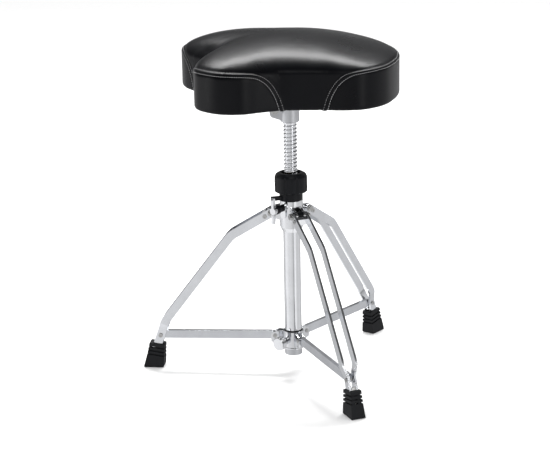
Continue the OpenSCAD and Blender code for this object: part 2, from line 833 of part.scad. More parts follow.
// Path lengths of the cover's rows: hem, rounded corner, side wall and shoulder.
function cover_knots(q) = let (c = hem_w, w = side_w(q))
    concat([0, c - 1], [for (k = [1 : 3]) c + corner_run * k / 3], [w - 38, w - 18, w],
        [for (t = [0.14, 0.27, 0.4, 0.55, 0.75, 1]) w + dome_run * t]);
skin_rows = len(cover_knots(seat_line[0])) - 1;
function cover_ring(j, d) = [for (i = [0 : n_col - 1])
    let (w0 = seam_z(i) < 0 ? 0 : seam_w(i) + skin_gap)
    skin_point(i, max(cover_knots(seat_line[i])[j], w0 + 0.3 * j), d)];
function crown_ring(k, d) = [for (i = [0 : n_col - 1]) crown_point(i, 1 - k / crown_rows, d)];
function flat1(v) = [for (a = v, b = a) b];

// Faces between consecutive rings of n points; flip turns them over.
function ring_faces(n, rows, base, flip) = [for (j = [0 : rows - 2], i = [0 : n - 1], s = [0, 1])
    let (a = base + j * n + i, b = base + j * n + (i + 1) % n, c = a + n, e = b + n,
        t = s == 0 ? [a, c, b] : [b, c, e])
    flip ? [t[2], t[1], t[0]] : t];
function fan_faces(n, base, apex, flip) = [for (i = [0 : n - 1])
    let (a = base + i, b = base + (i + 1) % n)
    flip ? [b, a, apex] : [a, b, apex]];

module seat_frame() {
    translate([0, 0, seat_z + cloth_t])
        rotate([0, 0, seat_turn])
            children();
}

module seat_top_cover() {
    rows = skin_rows + crown_rows;
    outer = concat(flat1([for (j = [0 : skin_rows]) cover_ring(j, 0)]),
        flat1([for (k = [1 : crown_rows - 1]) crown_ring(k, 0)]));
    inner = concat(flat1([for (j = [0 : skin_rows]) cover_ring(j, skin_t)]),
        flat1([for (k = [1 : crown_rows - 1]) crown_ring(k, skin_t)]));
    n_out = len(outer);
    pts = concat(outer, inner, [[0, 0, seat_crown], [0, 0, seat_crown - skin_t]]);
    faces = concat(ring_faces(n_col, rows, 0, false), ring_faces(n_col, rows, n_out, true),
        fan_faces(n_col, (rows - 1) * n_col, 2 * n_out, true),
        fan_faces(n_col, n_out + (rows - 1) * n_col, 2 * n_out + 1, false),
        [for (i = [0 : n_col - 1], s = [0, 1])
            let (a = i, b = (i + 1) % n_col, c = a + n_out, e = b + n_out)
            s == 0 ? [a, b, c] : [b, e, c]]);
    color(vinyl_c)
        seat_frame()
            polyhedron(points = pts, faces = faces, convexity = 6);
}

// Path length of a panel's row: the hem's edge, the rounded corner, then even steps up to the seam.
function panel_w(i, j) = let (top = seam_w(i), free = top - hem_w + 1, c = min(1, free / 20),
    bend = hem_w - 1 + c * (1 + corner_run))
    j == 0 ? 0
    : j <= 4 ? hem_w - 1 + c * (1 + corner_run * (j - 1) / 3)
    : bend + (top - bend) * (j - 4) / 4;

module seat_panel(cols) {
    rows = 9;
    n = cols[1] - cols[0] + 1;
    grid = [for (d = [0, skin_t], j = [0 : rows - 1], i = [cols[0] : cols[1]])
        skin_point(i, panel_w(i, j), d)];
    m = rows * n;
    faces = concat(
        [for (j = [0 : rows - 2], i = [0 : n - 2], s = [0, 1])
            let (a = j * n + i, b = a + 1, c = a + n, e = b + n)
            s == 0 ? [a, c, b] : [b, c, e]],
        [for (j = [0 : rows - 2], i = [0 : n - 2], s = [0, 1])
            let (a = m + j * n + i, b = a + 1, c = a + n, e = b + n)
            s == 0 ? [a, b, c] : [b, e, c]],
        [for (i = [0 : n - 2], s = [0, 1])
            let (a = i, b = i + 1)
            s == 0 ? [a, b, m + a] : [b, m + b, m + a]],
        [for (i = [0 : n - 2], s = [0, 1])
            let (a = (rows - 1) * n + i, b = a + 1)
            s == 0 ? [b, a, m + a] : [m + b, b, m + a]],
        [for (j = [0 : rows - 2], s = [0, 1])
            let (a = j * n, b = a + n)
            s == 0 ? [b, a, m + a] : [m + b, b, m + a]],
        [for (j = [0 : rows - 2], s = [0, 1])
            let (a = j * n + n - 1, b = a + n)
            s == 0 ? [a, b, m + a] : [b, m + b, m + a]]);
    color(panel_c)
        seat_frame()
            polyhedron(points = grid, faces = faces, convexity = 6);
}

foam_base = board_t + skin_gap;
foam_in = skin_t + foam_gap;

module seat_foam() {
    w0 = hem_w + corner_run + foam_base - edge_r;
    rings = concat(
        [[for (i = [0 : n_col - 1]) skin_point(i, w0, foam_in)]],
        [for (j = [6 : skin_rows]) [for (i = [0 : n_col - 1])
            skin_point(i, cover_knots(seat_line[i])[j], foam_in)]],
        [for (k = [1 : crown_rows - 1]) [for (i = [0 : n_col - 1]) crown_point(i, 1 - k / crown_rows, foam_in)]]);
    rows = len(rings);
    pts = concat(flat1(rings), [[0, 0, seat_crown - foam_in], [0, 0, foam_base]]);
    faces = concat(ring_faces(n_col, rows, 0, false), fan_faces(n_col, (rows - 1) * n_col, rows * n_col, true),
        fan_faces(n_col, 0, rows * n_col + 1, false));
    color(foam_c)
        seat_frame()
            difference() {
                polyhedron(points = pts, faces = faces, convexity = 6);
                for (sx = [-1, 1], sy = [-1, 1])
                    translate([sx * 52, sy * 40, foam_base - 1])
                        cylinder(d = 20, h = 5);
            }
}

function shrunk(d) = [for (q = seat_line) q * (norm(q) - d) / norm(q)];

module seat_board() {
    color(wood_c)
        difference() {
            seat_frame()
                difference() {
                    linear_extrude(board_t)
                        polygon(shrunk(9.5));
                    translate([0, 0, -1])
                        difference() {
                            linear_extrude(1 + skin_t + 0.8)
                                polygon(shrunk(-5));
                            translate([0, 0, -1])
                                linear_extrude(6)
                                    polygon(shrunk(edge_r + hem_w + 1));
                        }
                }
            flange_holes(9, seat_z - 1, seat_z + 30);
        }
}

module seat_bottom_cloth() {
    color(black_c)
        difference() {
            translate([0, 0, seat_z])
                rotate([0, 0, seat_turn])
                    linear_extrude(cloth_t)
                        polygon(shrunk(12));
            flange_holes(6.4, seat_z - 1, seat_z + 5);
        }
}

// ---- assembly ----

column_tube();
hub();
hub_pivot_blocks();
guide_bushing();
nut_thrust_washer();
tube_end_plug();
brace_collar();
collar_liner();
collar_rivets();
lock_knob();
lock_knob_screw();
wing_bolt();
wing_bolt_collar();
height_nut_body();
height_nut_insert();
threaded_rod();
rod_end_stop();
at_leg(0) leg_bar(-1);  // left_bar_rear
at_leg(0) leg_bar(1);  // left_bar_front
at_leg(0) leg_spacer();  // left_spacer
at_leg(0) leg_rivets();  // left_rivets
at_leg(0) leg_pivot_bolt();  // left_pivot_bolt
at_leg(0) leg_foot_core();  // left_foot_core
at_leg(0) leg_foot();  // left_foot
at_leg(1) leg_bar(-1);  // near_bar_rear
at_leg(1) leg_bar(1);  // near_bar_front
at_leg(1) leg_spacer();  // near_spacer
at_leg(1) leg_rivets();  // near_rivets
at_leg(1) leg_pivot_bolt();  // near_pivot_bolt
at_leg(1) leg_foot_core();  // near_foot_core
at_leg(1) leg_foot();  // near_foot
at_leg(2) leg_bar(-1);  // far_bar_rear
at_leg(2) leg_bar(1);  // far_bar_front
at_leg(2) leg_spacer();  // far_spacer
at_leg(2) leg_rivets();  // far_rivets
at_leg(2) leg_pivot_bolt();  // far_pivot_bolt
at_leg(2) leg_foot_core();  // far_foot_core
at_leg(2) leg_foot();  // far_foot
at_leg(0) brace();  // left_brace
at_leg(1) brace();  // near_brace
at_leg(2) brace();  // far_brace
at_leg(0) brace_pin();  // left_brace_pin
at_leg(1) brace_pin();  // near_brace_pin
at_leg(2) brace_pin();  // far_brace_pin
seat_receiver();
receiver_clamp_bolt();
receiver_clamp_nut();
flange_screws();
tee_nuts();
seat_board();
seat_foam();
seat_top_cover();
seat_panel(near_cols);  // seat_panel_near
seat_panel(far_cols);  // seat_panel_far
seat_panel(back_cols);  // seat_panel_back
seat_bottom_cloth();
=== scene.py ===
"""Looks of the drum throne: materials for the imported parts, a true helical thread and a sewn seat."""
import bpy
import json
import math

import numpy as np
from mathutils import Matrix, Vector


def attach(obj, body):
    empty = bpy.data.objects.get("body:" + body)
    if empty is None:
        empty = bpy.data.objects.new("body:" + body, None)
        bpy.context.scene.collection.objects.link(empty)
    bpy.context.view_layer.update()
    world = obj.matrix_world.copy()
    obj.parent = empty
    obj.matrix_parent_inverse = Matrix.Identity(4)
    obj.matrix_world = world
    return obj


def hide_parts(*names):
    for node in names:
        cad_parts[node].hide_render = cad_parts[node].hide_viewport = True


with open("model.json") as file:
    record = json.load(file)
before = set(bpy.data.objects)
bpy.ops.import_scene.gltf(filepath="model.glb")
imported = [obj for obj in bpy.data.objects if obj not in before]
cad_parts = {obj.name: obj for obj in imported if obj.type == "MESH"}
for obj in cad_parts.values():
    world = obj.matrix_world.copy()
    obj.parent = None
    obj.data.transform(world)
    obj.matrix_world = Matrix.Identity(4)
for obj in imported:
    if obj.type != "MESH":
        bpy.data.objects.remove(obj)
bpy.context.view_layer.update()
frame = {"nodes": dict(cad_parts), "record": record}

NODES = frame["nodes"]
MM = 0.001
rng = np.random.default_rng(7)

# ---------------------------------------------------------------- camera


def make_camera():
    turn, yaw, pitch, roll = (math.radians(a) for a in (6.82, -0.53, 15.83, -1.09))
    forward = Vector((math.sin(yaw) * math.cos(pitch), math.cos(yaw) * math.cos(pitch), -math.sin(pitch)))
    right = Vector((math.cos(yaw), -math.sin(yaw), 0))
    up = right.cross(forward)
    rolled = math.cos(roll) * right + math.sin(roll) * up
    up = -math.sin(roll) * right + math.cos(roll) * up
    axes = Matrix((rolled, up, -forward)).transposed().to_4x4()
    data = bpy.data.cameras.new("camera")
    data.lens, data.sensor_width = 122.1, 36
    data.clip_start, data.clip_end = 0.05, 60
    cam = bpy.data.objects.new("camera", data)
    bpy.context.scene.collection.objects.link(cam)
    cam.matrix_world = Matrix.Rotation(turn, 4, "Z") @ Matrix.Translation((0, -3.3, 1.2167)) @ axes
    bpy.context.scene.camera = cam


make_camera()

# ---------------------------------------------------------------- material helpers


class Mat:
    """A node material with one Principled shader and short ways to add textures to it."""

    def __init__(self, name, **sockets):
        self.m = bpy.data.materials.new(name)
        self.m.use_nodes = True
        self.t = self.m.node_tree
        self.t.nodes.clear()
        out = self.t.nodes.new("ShaderNodeOutputMaterial")
        self.b = self.t.nodes.new("ShaderNodeBsdfPrincipled")
        self.t.links.new(self.b.outputs[0], out.inputs[0])
        self.coord = self.t.nodes.new("ShaderNodeTexCoord").outputs["Object"]
        self.height = None
        for key, value in sockets.items():
            self.b.inputs[key.replace("_", " ")].default_value = value

    def link(self, a, b):
        self.t.links.new(a, b)

    def mapped(self, scale=(1, 1, 1), rot=(0, 0, 0)):
        n = self.t.nodes.new("ShaderNodeMapping")
        n.inputs["Scale"].default_value = scale
        n.inputs["Rotation"].default_value = rot
        self.link(self.coord, n.inputs["Vector"])
        return n.outputs[0]

    def noise(self, scale, detail=3, rough=0.55, vector=None, distortion=0):
        n = self.t.nodes.new("ShaderNodeTexNoise")
        n.inputs["Scale"].default_value = scale
        n.inputs["Detail"].default_value = detail
        n.inputs["Roughness"].default_value = rough
        n.inputs["Distortion"].default_value = distortion
        self.link(vector or self.coord, n.inputs["Vector"])
        return n.outputs[0]

    def cells(self, scale, feature="F1", vector=None, randomness=1.0):
        n = self.t.nodes.new("ShaderNodeTexVoronoi")
        n.feature = feature
        n.inputs["Scale"].default_value = scale
        n.inputs["Randomness"].default_value = randomness
        self.link(vector or self.coord, n.inputs["Vector"])
        return n.outputs[0]

    def wave(self, scale, axis="X", vector=None, distortion=0.0, detail=2):
        n = self.t.nodes.new("ShaderNodeTexWave")
        n.bands_direction = axis
        n.inputs["Scale"].default_value = scale
        n.inputs["Distortion"].default_value = distortion
        n.inputs["Detail"].default_value = detail
        self.link(vector or self.coord, n.inputs["Vector"])
        return n.outputs[1]

    def spread(self, source, low, high, start=0.3, end=0.7):
        n = self.t.nodes.new("ShaderNodeMapRange")
        for i, v in enumerate((start, end, low, high)):
            n.inputs[i + 1].default_value = v
        self.link(source, n.inputs[0])
        return n.outputs[0]

    def ramp(self, source, *stops):
        n = self.t.nodes.new("ShaderNodeValToRGB")
        while len(n.color_ramp.elements) < len(stops):
            n.color_ramp.elements.new(0.5)
        for e, (at, colour) in zip(n.color_ramp.elements, stops):
            e.position, e.color = at, (*colour, 1)
        self.link(source, n.inputs[0])
        return n.outputs[0]

    def math(self, op, a, b):
        n = self.t.nodes.new("ShaderNodeMath")
        n.operation = op
        for i, v in enumerate((a, b)):
            if isinstance(v, (int, float)):
                n.inputs[i].default_value = v
            else:
                self.link(v, n.inputs[i])
        return n.outputs[0]

    def bump(self, source, strength, distance):
        n = self.t.nodes.new("ShaderNodeBump")
        n.inputs["Strength"].default_value = strength
        n.inputs["Distance"].default_value = distance
        self.link(source, n.inputs["Height"])
        if self.height:
            self.link(self.height, n.inputs["Normal"])
        self.height = n.outputs[0]
        self.link(self.height, self.b.inputs["Normal"])

    def set(self, socket, source):
        self.link(source, self.b.inputs[socket])


def mixed(colour, k):
    return tuple(min(1, c * k) for c in colour)


def chrome(name, colour=(0.86, 0.87, 0.89), low=0.045, high=0.11, cast=0.0, brushed=None):
    m = Mat(name, Metallic=1.0)
    smudge = m.noise(22, 4, 0.6)
    fine = m.noise(240, 3, 0.6)
    m.set("Base Color", m.ramp(smudge, (0.32, mixed(colour, 0.93)), (0.68, mixed(colour, 1.04))))
    both = m.math("ADD", m.math("MULTIPLY", smudge, 0.6), m.math("MULTIPLY", fine, 0.4))
    m.set("Roughness", m.spread(both, low, high, 0.35, 0.65))
    if brushed:
        m.bump(m.noise(1, 2, 0.5, m.mapped(brushed)), 0.05, 0.0002)
    m.bump(fine, 0.02 + cast, 0.0003)
    if cast:
        m.bump(m.noise(70, 2), 0.1 * cast / 0.05, 0.0008)
    return m.m


MATS = {
    "column_chrome": chrome("column_chrome", low=0.07, high=0.14, brushed=(900, 900, 30)),
    "hub_chrome": chrome("hub_chrome", (0.86, 0.87, 0.885), 0.09, 0.18, cast=0.05),
    "bar_chrome": chrome("bar_chrome", (0.82, 0.835, 0.86), 0.1, 0.2),
    # The braces get a darker copy of the same chrome as the bars: painted shade.
    "brace_chrome": chrome("brace_chrome", (0.7, 0.715, 0.745), 0.14, 0.26),
    "collar_chrome": chrome("collar_chrome", (0.8, 0.81, 0.83), 0.07, 0.15, cast=0.03),
    "knob_chrome": chrome("knob_chrome", (0.86, 0.87, 0.89), 0.12, 0.22),
    "rod_chrome": chrome("rod_chrome", (0.88, 0.89, 0.91), 0.05, 0.1),
}


def steel(name, colour=(0.57, 0.57, 0.56)):
    m = Mat(name, Metallic=1.0)
    grain = m.noise(420, 4, 0.7)
    tint = m.noise(60, 3)
    m.set("Base Color", m.ramp(tint, (0.3, mixed(colour, 0.85)), (0.55, colour), (0.75, mixed(colour, 1.12))))
    m.set("Roughness", m.spread(grain, 0.22, 0.42))
    m.bump(grain, 0.12, 0.0003)
    return m.m


def satin(name, colour=(0.66, 0.67, 0.69)):
    m = Mat(name, Metallic=1.0)
    grain = m.noise(650, 4, 0.7)
    patch = m.noise(45, 4, 0.6)
    m.set("Base Color", m.ramp(patch, (0.3, mixed(colour, 0.9)), (0.7, mixed(colour, 1.08))))
    m.set("Roughness", m.spread(grain, 0.34, 0.52))
    m.bump(grain, 0.35, 0.0003)
    m.bump(patch, 0.1, 0.001)
    return m.m


def nylon(name, colour=(0.004, 0.0045, 0.006)):
    m = Mat(name, Specular_IOR_Level=0.2)
    grain = m.noise(900, 3, 0.6)
    flow = m.noise(35, 3)
    m.set("Base Color", m.ramp(flow, (0.3, mixed(colour, 0.8)), (0.7, mixed(colour, 1.35))))
    m.set("Roughness", m.spread(flow, 0.3, 0.44))
    m.bump(grain, 0.18, 0.0002)
    return m.m


def rubber(name, colour=(0.006, 0.0064, 0.0076)):
    m = Mat(name, Specular_IOR_Level=0.19)
    grain = m.noise(1100, 3, 0.65)
    dust = m.noise(28, 5, 0.65)
    m.set("Base Color", m.ramp(dust, (0.35, colour), (0.62, mixed(colour, 1.5)), (0.8, mixed(colour, 2.2))))
    m.set("Roughness", m.spread(dust, 0.48, 0.66))
    m.bump(grain, 0.3, 0.0003)
    return m.m


def brass(name, colour=(0.66, 0.5, 0.24)):
    m = Mat(name, Metallic=1.0)
    turned = m.noise(1, 2, 0.5, m.mapped((60, 60, 2600)))
    m.set("Base Color", m.ramp(m.noise(60), (0.3, mixed(colour, 0.8)), (0.7, colour)))
    m.set("Roughness", m.spread(turned, 0.2, 0.36))
    m.bump(turned, 0.15, 0.0002)
    return m.m


def vinyl(name, colour=(0.002, 0.0022, 0.0032)):
    m = Mat(name, Specular_IOR_Level=0.15)
    pores = m.cells(620, "DISTANCE_TO_EDGE")
    creases = m.noise(260, 4, 0.6, distortion=0.6)
    broad = m.noise(14, 3)
    m.set("Base Color", m.ramp(broad, (0.3, mixed(colour, 0.85)), (0.7, mixed(colour, 1.25))))
    m.set("Roughness", m.spread(broad, 0.26, 0.33))
    m.bump(m.spread(pores, 0, 1, 0.0, 0.22), 0.22, 0.00018)
    m.bump(creases, 0.12, 0.0004)
    return m.m


def thread(name, colour=(0.35, 0.35, 0.355)):
    m = Mat(name, Roughness=0.6, Sheen_Weight=0.3)
    ply = m.noise(1800, 2)
    m.set("Base Color", m.ramp(ply, (0.3, mixed(colour, 0.7)), (0.7, mixed(colour, 1.2))))
    m.bump(ply, 0.5, 0.0002)
    return m.m


def cloth(name, colour=(0.02, 0.02, 0.021)):
    m = Mat(name, Specular_IOR_Level=0.15, Sheen_Weight=0.25)
    weave = m.math("MULTIPLY", m.wave(420, "X"), m.wave(420, "Y"))
    fibre = m.noise(500, 4, 0.7)
    both = m.math("ADD", weave, fibre)
    m.set("Base Color", m.ramp(fibre, (0.3, mixed(colour, 0.6)), (0.7, mixed(colour, 1.7))))
    m.set("Roughness", m.spread(fibre, 0.75, 0.95))
    m.bump(both, 0.5, 0.0004)
    return m.m


def foam(name, colour=(0.72, 0.62, 0.34)):
    m = Mat(name, Specular_IOR_Level=0.1)
    pits_and_pit_shade = m.cells(420, "F1")
    # Each pit of the foam is painted darker towards its centre, which is painted shade in the pores; the same pattern
    # dents the surface.
    m.set("Base Color", m.ramp(pits_and_pit_shade, (0.1, mixed(colour, 0.55)), (0.6, colour)))
    m.set("Roughness", m.spread(m.noise(80), 0.85, 1.0))
    m.bump(pits_and_pit_shade, 0.6, 0.001)
    return m.m


def plywood(name):
    m = Mat(name, Specular_IOR_Level=0.3)
    grain = m.noise(1, 5, 0.6, m.mapped((14, 160, 160)), 0.8)
    m.set("Base Color", m.ramp(grain, (0.3, (0.42, 0.27, 0.13)), (0.55, (0.62, 0.44, 0.24)), (0.75, (0.7, 0.53, 0.31))))
    m.set("Roughness", m.spread(grain, 0.5, 0.72))
    m.bump(grain, 0.2, 0.0006)
    return m.m


MATS["fastener_steel"] = steel("fastener_steel")
MATS["satin_casting"] = satin("satin_casting")
MATS["nylon_black"] = nylon("nylon_black")
MATS["insert_brass"] = brass("insert_brass")
MATS["foot_rubber"] = rubber("foot_rubber")
MATS["seat_vinyl"] = vinyl("seat_vinyl")
MATS["seat_foam"] = foam("seat_foam")
MATS["seat_board"] = plywood("seat_board")
MATS["seat_cloth"] = cloth("seat_cloth")
THREAD = thread("seam_thread")

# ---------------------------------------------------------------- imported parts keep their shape

SOFT = ("seat_top_cover", "seat_panel_near", "seat_panel_far", "seat_panel_back", "seat_foam", "seat_bottom_cloth")
EDGE = {
    "height_nut_body": 0.9, "guide_bushing": 0.7, "seat_receiver": 0.8, "hub": 0.7, "brace_collar": 0.4,
    "lock_knob": 0.6, "wing_bolt": 0.8, "wing_bolt_collar": 0.4, "tube_end_plug": 0.6, "column_tube": 0.3,
}

# Vertices nearer than this are joined, in metres. The bars have a small step at their lower ends.
BAR_WELD, POINT_WELD = 0.00016, 0.00001


def edge_of(node):
    if node.endswith("_foot"):
        return 0.7
    if "_bar_" in node:
        return 0.8
    if node.endswith("_brace"):
        return 0.35
    return EDGE.get(node, 0.25)


def dress_node(node, slot):
    o = NODES[node]
    o.data.materials.clear()
    o.data.materials.append(MATS[slot])
    weld = o.modifiers.new("weld", "WELD")
    weld.merge_threshold = BAR_WELD if "_bar_" in node else POINT_WELD
    bevel = o.modifiers.new("bevel", "BEVEL")
    bevel.width = edge_of(node) * MM
    bevel.segments = 2
    bevel.limit_method = "ANGLE"
    bevel.angle_limit = math.radians(32)
    bevel.harden_normals = False
    for p in o.data.polygons:
        p.use_smooth = True
    normals = o.modifiers.new("normals", "WEIGHTED_NORMAL")
    normals.keep_sharp = False
    normals.weight = 80


for part in frame["record"]["subparts"]:
    if part["node"] not in SOFT:
        dress_node(part["node"], part["material_slot"])

# ---------------------------------------------------------------- mesh helpers


def make_mesh(name, verts, faces, material, body, smooth=True):
    mesh = bpy.data.meshes.new(name)
    mesh.from_pydata([tuple(v) for v in verts], [], faces)
    mesh.validate()
    mesh.update()
    for p in mesh.polygons:
        p.use_smooth = smooth
    mesh.materials.append(material)
    o = bpy.data.objects.new(name, mesh)
    bpy.context.scene.collection.objects.link(o)
    if body:
        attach(o, body)
    return o


def grid_faces(rows, cols, closed, base=0):
    faces = []
    for j in range(rows - 1):
        for i in range(cols if closed else cols - 1):
            a, b = base + j * cols + i, base + j * cols + (i + 1) % cols
            faces.append((a, b, b + cols, a + cols))
    return faces


# ---------------------------------------------------------------- threaded rod with a true helix

ROD_R, ROOT_R, SPIGOT_R, BORE_R, PITCH = 12.5, 10.7, 12.0, 7.0, 7.0
ROD_LOW, THREAD_LOW, THREAD_HIGH, ROD_HIGH = 205.0, 214.0, 474.3, 524.0


def make_rod():
    turns = 40
    zs = np.concatenate([[ROD_LOW, ROD_LOW + 0.8, ROD_LOW + 2], np.arange(THREAD_LOW, THREAD_HIGH, 0.5),
                         [THREAD_HIGH, THREAD_HIGH + 0.7, THREAD_HIGH + 1.0, 500, ROD_HIGH - 1, ROD_HIGH]])
    angles = np.linspace(0, 2 * math.pi, turns, endpoint=False)
    z, a = np.meshgrid(zs, angles, indexing="ij")
    phase = ((z - THREAD_LOW) / PITCH - a / (2 * math.pi)) % 1.0
    crest = np.clip(1.55 - np.abs(phase - 0.5) * 4.4, 0, 1)
    crest = crest * crest * (3 - 2 * crest)
    fade = np.clip((z - THREAD_LOW) / 5, 0, 1) * np.clip((THREAD_HIGH - z) / 4, 0, 1)
    r = ROD_R - (ROD_R - ROOT_R) * (1 - crest) * fade
    r = np.where(z > THREAD_HIGH + 0.5, SPIGOT_R, r)
    r = np.where(z < ROD_LOW + 0.5, ROD_R - 1.8, np.where(z < THREAD_LOW - 0.1, ROD_R - 0.8, r))
    r = np.where(z > ROD_HIGH - 0.5, SPIGOT_R - 1, r)
    rows = [np.column_stack([r[j] * np.cos(angles), r[j] * np.sin(angles), z[j]]) for j in range(len(zs))]
    for depth in (ROD_HIGH, ROD_LOW):
        rows.append(np.column_stack([BORE_R * np.cos(angles), BORE_R * np.sin(angles), np.full(turns, depth)]))
    verts = np.concatenate(rows) * MM
    faces = grid_faces(len(rows), turns, True)
    last = (len(rows) - 1) * turns
    faces += [(last + i, last + (i + 1) % turns, (i + 1) % turns, i) for i in range(turns)]
    rod = make_mesh("rod_with_thread", verts, faces, MATS["rod_chrome"], "rod")
    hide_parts("threaded_rod")


make_rod()

# ---------------------------------------------------------------- seat surface
# The seat is laid out in its own frame in millimetres: +x to the notch, z up from the board's underside.

HALF = [(147, 0), (167, 42), (181, 82), (179, 124), (151, 163), (113, 175), (76, 166), (35, 159), (-28, 170),
        (-70, 182), (-108, 180), (-146, 152), (-174, 104), (-191, 54), (-197, 0)]
SEAT_Z, SEAT_TURN = 533.0, math.radians(195.6)
HEM, EDGE_R, CORNER = 25.0, 5.0, 7.854
SIDE_MID, SIDE_TILT, CROWN, TOP_TILT, VALLEY = 58.7, 1.9, 107.0, 10.6, 9.8
DOME_N, DOME_C, DOME_IN, DOME_RUN = 1.55, 0.45, 0.42, 58.0
SEAM_W, SEAM_RUN, BAND, HEM_SAG = 66.8, 19.5, 9.0, 3.2
ROUND_R = 188.0


def outline(per_segment):
    ring = HALF + [(x, -y) for x, y in HALF[-2:0:-1]]
    ring = np.array(ring, float)
    n = len(ring)
    t = np.arange(per_segment) / per_segment
    points = []
    for i in range(n):
        a, b, c, d = (ring[(i + k) % n] for k in (-1, 0, 1, 2))
        for s in t:
            bend = (2 * a - 5 * b + 4 * c - d) * s**2 + (3 * b - a - 3 * c + d) * s**3
            points.append(0.5 * (2 * b + (c - a) * s + bend))
    return np.array(points)


LINE = outline(40)
ARC = np.concatenate([[0], np.cumsum(np.linalg.norm(np.roll(LINE, -1, axis=0) - LINE, axis=1))])
ROUND = ARC[-1]
CLOSED = np.vstack([LINE, LINE[:1]])


def at_arc(arc):
    arc = np.mod(arc, ROUND)
    return np.stack([np.interp(arc, ARC, CLOSED[:, k]) for k in (0, 1)], -1)


def side_top(q):
    return SIDE_MID - SIDE_TILT * q[..., 0] / 180


def dome_k(s):
    return np.power(s * s + DOME_C * DOME_C, DOME_N / 2)


def dome_height(q, s):
    even = s * np.power(np.linalg.norm(q, axis=-1) / ROUND_R, 0.95 * (1 - s))
    part = np.sqrt(np.clip((dome_k(1.0) - dome_k(even)) / (dome_k(1.0) - dome_k(0.0)), 0, 1))
    x, y = q[..., 0] * s, q[..., 1] * s
    dip = VALLEY * np.exp(-((y / 44) ** 2)) * np.clip(x / 147, 0, 1) ** 2.8 * np.minimum(1, 2.5 * part)
    return side_top(q) + (CROWN + TOP_TILT * x / 180 - side_top(q)) * part - dip


def seat_point(arc, w):
    """Point of the cover at arc length arc round the outline and path length w up from the hem's inner edge."""
    q = at_arc(arc)
    r = np.linalg.norm(q, axis=-1)
    top = HEM + CORNER + side_top(q) - EDGE_R
    sag = HEM_SAG * np.exp(-(((w - HEM - 3) / 13) ** 2))
    bend = np.clip((w - HEM) / CORNER, 0, 1) * math.pi / 2
    radius = np.where(w <= HEM, r - EDGE_R - HEM + w, r - EDGE_R + EDGE_R * np.sin(bend))
    height = np.where(w <= HEM, 0, EDGE_R - EDGE_R * np.cos(bend)) + np.clip(w - HEM - CORNER, 0, None) - sag
    tau = np.clip((w - top) / DOME_RUN, 0, None)
    s = np.where(tau <= 1, 1 - DOME_IN * tau**2, (1 - DOME_IN) - 2 * DOME_IN * (tau - 1))
    s = np.clip(s, 0.0, 1)
    over = w > top
    radius = np.where(over, r * s, radius)
    height = np.where(over, dome_height(q, s), height)
    return np.stack([q[..., 0] / r * radius, q[..., 1] / r * radius, height], -1)


W_TOP = HEM + CORNER + SIDE_MID - EDGE_R + DOME_RUN


def seat_normal(arc, w):
    e = 0.8
    du = seat_point(arc + e, w) - seat_point(arc - e, w)
    dw = seat_point(arc, w + e) - seat_point(arc, w - e)
    n = np.cross(du, dw)
    return n / np.maximum(np.linalg.norm(n, axis=-1, keepdims=True), 1e-9)


PANELS = {"near": (50.5, 293.5), "back": (377.0, ROUND - 377.0), "far": (ROUND - 293.5, ROUND - 50.5)}


def seam_w(arc, ends):
    rise = 1 - np.exp(-np.minimum(arc - ends[0], ends[1] - arc).clip(0) / SEAM_RUN)
    return HEM + SEAM_W * rise


def seam_curve(ends):
    arc = np.concatenate([[ends[0]] * 12, ends[0] + np.linspace(0, 1, 400) ** 2 * 60,
                          np.linspace(ends[0] + 60, ends[1] - 60, 200)[1:-1],
                          ends[1] - np.linspace(1, 0, 400) ** 2 * 60, [ends[1]] * 12])
    w = seam_w(arc, ends)
    w[:12] = np.linspace(-5, HEM, 12)
    w[-12:] = np.linspace(HEM, -5, 12)
    return np.stack([arc, w], -1)


CURVES = {k: seam_curve(v) for k, v in PANELS.items()}


def segment_distance(points, line):
    """Distance from each point to a polyline, both in (arc, w) millimetres, and the length along it."""
    a, b = line[:-1], line[1:]
    d = b - a
    length = np.concatenate([[0], np.cumsum(np.linalg.norm(d, axis=1))])
    best, along = np.full(len(points), 1e9), np.zeros(len(points))
    size = np.maximum((d**2).sum(1), 1e-12)
    for start in range(0, len(points), 4000):
        p = points[start:start + 4000]
        t = np.clip(((p[:, None] - a) * d).sum(2) / size, 0, 1)
        gap = np.linalg.norm(p[:, None] - a - t[..., None] * d, axis=2)
        i = gap.argmin(1)
        row = np.arange(len(p))
        best[start:start + 4000] = gap[row, i]
        along[start:start + 4000] = length[i] + t[row, i] * np.sqrt(size[i])
    return best, along


def seam_distance(arc, w):
    points = np.stack([arc.ravel(), w.ravel()], -1)
    best, along = np.full(len(points), 1e9), np.zeros(len(points))
    for line in CURVES.values():
        lo, hi = line[:, 0].min() - 40, line[:, 0].max() + 40
        near = (points[:, 0] > lo) & (points[:, 0] < hi) & (points[:, 1] < SEAM_W + HEM + 45)
        d, s = segment_distance(points[near], line[::3])
        keep = d < best[near]
        where = np.flatnonzero(near)[keep]
        best[where], along[where] = d[keep], s[keep]
    return best.reshape(arc.shape), along.reshape(arc.shape)


def to_row(points):
    c, s = math.cos(SEAT_TURN), math.sin(SEAT_TURN)
    x, y, z = points[..., 0], points[..., 1], points[..., 2]
    return np.stack([x * c - y * s, x * s + y * c, z + SEAT_Z], -1) * MM


# ---------------------------------------------------------------- cloth simulation of the padded cover

SIM_COLS, SIM_ROWS, SIM_CAP = 168, 40, 5.0
SIM_W = np.concatenate([np.linspace(0, HEM + CORNER, 8)[:-1], np.linspace(HEM + CORNER, W_TOP + 45, SIM_ROWS - 7)])


